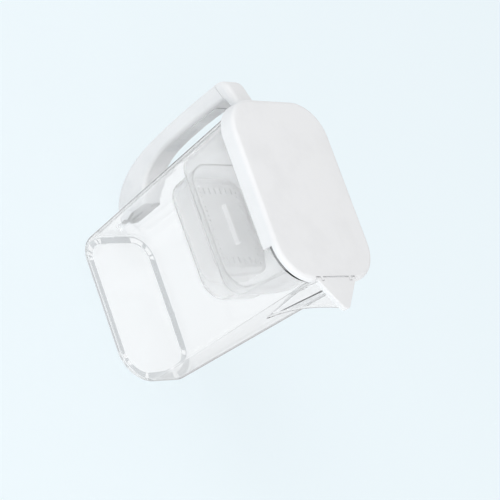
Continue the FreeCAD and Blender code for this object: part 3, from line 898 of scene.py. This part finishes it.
@dataclass
class Cartridge:
    """The filter cartridge: its shell, seal, screens, felts and loose media."""

    corner: float = 0.0145
    corner_segments: int = 6
    side_room: float = 0.0006
    felt_fuzz: float = 0.0003
    felt_clump: float = 0.003
    felt_voxel: float = 0.0009
    grain_voxel: float = 0.001
    carbon_grain: float = 0.0016
    carbon_depth: float = 0.0007
    resin_bead: float = 0.0012
    resin_depth: float = 0.0004

    def block(self, node: str) -> bpy.types.Object:
        """A block with rounded upright corners in a node's space.

        Args:
            node: The CAD node whose space it fills.

        Returns:
            The block, with its place in its mesh.
        """
        low, high = (Vector(corner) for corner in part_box(node))
        room = Vector((self.side_room, self.side_room, 0.0))
        nothing_selected()
        bpy.ops.mesh.primitive_cube_add(size=1.0, location=(low + high) / 2)
        block = bpy.context.object
        block.name = f"{node}_fill"
        block.scale = high - low - 2 * room
        bpy.ops.object.transform_apply(location=True, rotation=True, scale=True)
        bpy.ops.object.mode_set(mode="EDIT")
        bpy.ops.mesh.select_mode(type="EDGE")
        bpy.ops.mesh.select_all(action="DESELECT")
        mesh = bmesh.from_edit_mesh(block.data)
        for edge in mesh.edges:
            start, end = (vertex.co for vertex in edge.verts)
            edge.select_set((start.xy - end.xy).length < self.side_room)
        bmesh.update_edit_mesh(block.data)
        bpy.ops.mesh.bevel(offset=self.corner, segments=self.corner_segments, affect="EDGES")
        bpy.ops.object.mode_set(mode="OBJECT")
        return block

    def roughened(self, node: str, voxel: float, kind: str, size: float, depth: float) -> bpy.types.Object:
        """A block in a node's space whose faces are broken up by fibres or grains, never beyond the node.

        Args:
            node: The CAD node whose space it fills.
            voxel: How fine its mesh is.
            kind: The type of the texture that moves its faces in.
            size: The size of that texture's cells.
            depth: How far the faces move in at most.

        Returns:
            The piece, with its place in its mesh.
        """
        piece = self.block(node)
        remesh = piece.modifiers.new("remesh", "REMESH")
        remesh.mode = "VOXEL"
        remesh.voxel_size = voxel
        bpy.ops.object.modifier_apply(modifier=remesh.name)
        texture = bpy.data.textures.new(f"{node}_relief", kind)
        texture.noise_scale = size
        relief = piece.modifiers.new("relief", "DISPLACE")
        relief.texture = texture
        relief.texture_coords = "LOCAL"
        relief.strength = depth
        relief.mid_level = 1.0
        bpy.ops.object.modifier_apply(modifier=relief.name)
        return piece

    def build(self, finishes: Finishes) -> None:
        """Dresses the cartridge's pieces and models its soft and loose filling.

        Args:
            finishes: The materials.
        """
        dress("cartridge_cup", finishes.matt)
        dress("cartridge_cap", finishes.matt)
        dress("cartridge_seal", finishes.silicone)
        dress("inlet_screen", finishes.screen)
        dress("outlet_screen", finishes.screen)
        for node in ("top_pad", "middle_pad", "bottom_pad"):
            pad = self.roughened(node, self.felt_voxel, "CLOUDS", self.felt_clump, self.felt_fuzz)
            finish_piece(pad, finishes.felt, "cartridge")
            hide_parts(node)
        grain, depth = self.carbon_grain, self.carbon_depth
        carbon = self.roughened("carbon_bed", self.grain_voxel, "VORONOI", grain, depth)
        finish_piece(carbon, finishes.carbon, "cartridge")
        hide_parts("carbon_bed")
        bead, depth = self.resin_bead, self.resin_depth
        resin = self.roughened("resin_bed", self.grain_voxel, "VORONOI", bead, depth)
        finish_piece(resin, finishes.resin, "cartridge")
        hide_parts("resin_bed")


@dataclass
class Studio:
    """The pale floor, the soft light and the camera."""

    azimuth: float = 22.88
    elevation: float = 38.585
    roll: float = -55.678
    distance: float = 2.5
    focal_share: float = 4.9245
    target: Point = (0.0, 0.0, 0.125)
    target_across_share: float = 0.42172
    target_down_share: float = 0.4872
    sensor_width: float = 36.0
    floor_size: float = 40.0
    floor_colour: Colour = (0.84, 0.9, 0.93, 1.0)
    floor_paler_share: float = 1.02
    floor_mottles_per_metre: float = 6.0
    floor_mottle_detail: float = 4.0
    floor_roughness: float = 0.8
    floor_specular: float = 0.2
    shown_colour: Colour = (0.86, 0.95, 0.99, 1.0)
    through_colour: Colour = (0.98, 0.985, 0.99, 1.0)
    glow_share: float = 0.8
    # Painted contact shadow: the floor's glow turns grey where ambient occlusion finds the object close by.
    contact_gap: float = 0.0004
    contact_samples: int = 8
    painted_contact_shadow_step: tuple[float, float] = (0.2, 0.9)
    painted_contact_shadow_colour: Colour = (0.58, 0.59, 0.6, 1.0)
    world_colour: Colour = (0.97, 0.985, 1.0, 1.0)
    world_strength: float = 0.6
    lamps: tuple[tuple[str, Point, float], ...] = (
        ("key", (0.7, -1.0, 0.75), 0.33),
        ("fill", (-0.8, -0.6, 1.2), 0.3),
        ("side", (1.0, 0.1, 0.2), 0.25),
    )
    lamp_distance: float = 2.2
    lamp_size: float = 1.6

    def camera(self) -> None:
        """Places the camera at the photograph's viewing angle."""
        across, tilt, turn = (math.radians(a) for a in (self.azimuth, self.elevation, self.roll))
        right = Vector((math.cos(across), math.sin(across), 0.0))
        back = Vector((math.sin(across) * math.cos(tilt), -math.cos(across) * math.cos(tilt), math.sin(tilt)))
        up = back.cross(right)
        image_right = right * math.cos(turn) - up * math.sin(turn)
        image_up = right * math.sin(turn) + up * math.cos(turn)
        spot = Vector(self.target) + back * self.distance
        scale = self.distance / self.focal_share
        aim = Vector(self.target) + image_right * (0.5 - self.target_across_share) * scale
        aim -= image_up * (0.5 - self.target_down_share) * scale
        back = (spot - aim).normalized()
        image_right = (image_right - back * image_right.dot(back)).normalized()
        image_up = back.cross(image_right)
        data = bpy.data.cameras.new("camera")
        data.sensor_width = self.sensor_width
        data.lens = self.sensor_width * self.focal_share
        camera = bpy.data.objects.new("camera", data)
        bpy.context.scene.collection.objects.link(camera)
        turned = Matrix((image_right, image_up, back)).transposed().to_4x4()
        camera.matrix_world = Matrix.Translation(spot) @ turned
        bpy.context.scene.camera = camera

    @staticmethod
    def shown(graph: Graph) -> tuple[bpy.types.NodeSocket, bpy.types.NodeSocket]:
        """Tells the rays that show the stage to the camera from those that light the object.

        Args:
            graph: The tree of the floor or the world.

        Returns:
            The socket for straight rays, and the one for rays by way of gloss or clear plastic.
        """
        path = graph.add("LightPath")
        bent = graph.math("MAXIMUM", path.outputs["Is Glossy Ray"], path.outputs["Is Transmission Ray"])
        return path.outputs["Is Camera Ray"], bent

    def floor(self) -> None:
        """Lays the pale floor, which looks paler to the camera than it is but keeps the object's shadow;
        close to the object its glow is darkened into a painted contact shadow.
        """
        nothing_selected()
        bpy.ops.mesh.primitive_plane_add(size=self.floor_size)
        floor = bpy.context.object
        floor.name = "floor"
        surface = Surface("pale_floor")
        graph = surface.graph
        mottle = graph.noise(surface.place, self.floor_mottles_per_metre, self.floor_mottle_detail)
        paler = tuple(min(1.0, part * self.floor_paler_share) for part in self.floor_colour)
        surface.set(
            Base_Color=graph.mix(mottle, self.floor_colour, paler),
            Roughness=self.floor_roughness,
            Specular_IOR_Level=self.floor_specular,
        )
        straight, bent = self.shown(graph)
        # Ambient occlusion paints a contact shadow into the glow where the object stands on the floor
        nearby = graph.add("AmbientOcclusion", samples=self.contact_samples)
        nearby.inputs["Distance"].default_value = self.contact_gap
        open_air = graph.ramp(nearby.outputs["AO"], *self.painted_contact_shadow_step)
        glow = graph.add("Emission")
        colour = graph.mix(bent, self.shown_colour, self.through_colour)
        graph.join(graph.mix(open_air, self.painted_contact_shadow_colour, colour), glow.inputs["Color"])
        seen = graph.math("MAXIMUM", straight, bent)
        blend = graph.add("MixShader")
        graph.join(graph.math("MULTIPLY", seen, self.glow_share), blend.inputs["Fac"])
        graph.join(surface.shader.outputs["BSDF"], blend.inputs[1])
        graph.join(glow.outputs["Emission"], blend.inputs[2])
        graph.join(blend.outputs["Shader"], surface.output.inputs["Surface"])
        floor.data.materials.append(surface.material)

    def world(self) -> None:
        """Sets the even light all round, which looks as pale as the floor."""
        world = bpy.data.worlds.new("studio")
        world.use_nodes = True
        graph = Graph(world.node_tree)
        even = world.node_tree.nodes["Background"]
        even.inputs["Color"].default_value = self.world_colour
        even.inputs["Strength"].default_value = self.world_strength
        straight, bent = self.shown(graph)
        around = graph.add("Background")
        graph.join(graph.mix(bent, self.shown_colour, self.through_colour), around.inputs["Color"])
        blend = graph.add("MixShader")
        graph.join(graph.math("MAXIMUM", straight, bent), blend.inputs["Fac"])
        graph.join(even.outputs["Background"], blend.inputs[1])
        graph.join(around.outputs["Background"], blend.inputs[2])
        graph.join(blend.outputs["Shader"], world.node_tree.nodes["World Output"].inputs["Surface"])
        bpy.context.scene.world = world

    def light(self, name: str, toward: Point, share: float) -> None:
        """Sets one soft round lamp.

        Args:
            name: The lamp's name.
            toward: The direction from the object to the lamp.
            share: How bright it makes a white face that looks at it.
        """
        lamp = bpy.data.lights.new(name, "AREA")
        lamp.shape = "DISK"
        lamp.size = self.lamp_size
        lamp.energy = share * (math.pi * self.lamp_distance) ** 2
        holder = bpy.data.objects.new(name, lamp)
        bpy.context.scene.collection.objects.link(holder)
        direction = Vector(toward).normalized()
        holder.location = Vector(self.target) + direction * self.lamp_distance
        holder.rotation_euler = direction.to_track_quat("Z", "Y").to_euler()

    def build(self) -> None:
        """Sets up the whole studio."""
        self.floor()
        self.world()
        for name, toward, share in self.lamps:
            self.light(name, toward, share)
        self.camera()
        bpy.context.scene.view_settings.view_transform = "Standard"


def main() -> None:
    """Dresses the pitcher piece by piece and sets up the studio."""
    logging.basicConfig(level=logging.INFO, format="%(message)s")
    finishes = Finishes(Effects())
    for assembly in (Jug(), Handle(), Lid(), Hopper(), Cartridge()):
        log.info("building the %s", type(assembly).__name__.lower())
        assembly.build(finishes)
    Studio().build()


if __name__ == "__main__":
    main()
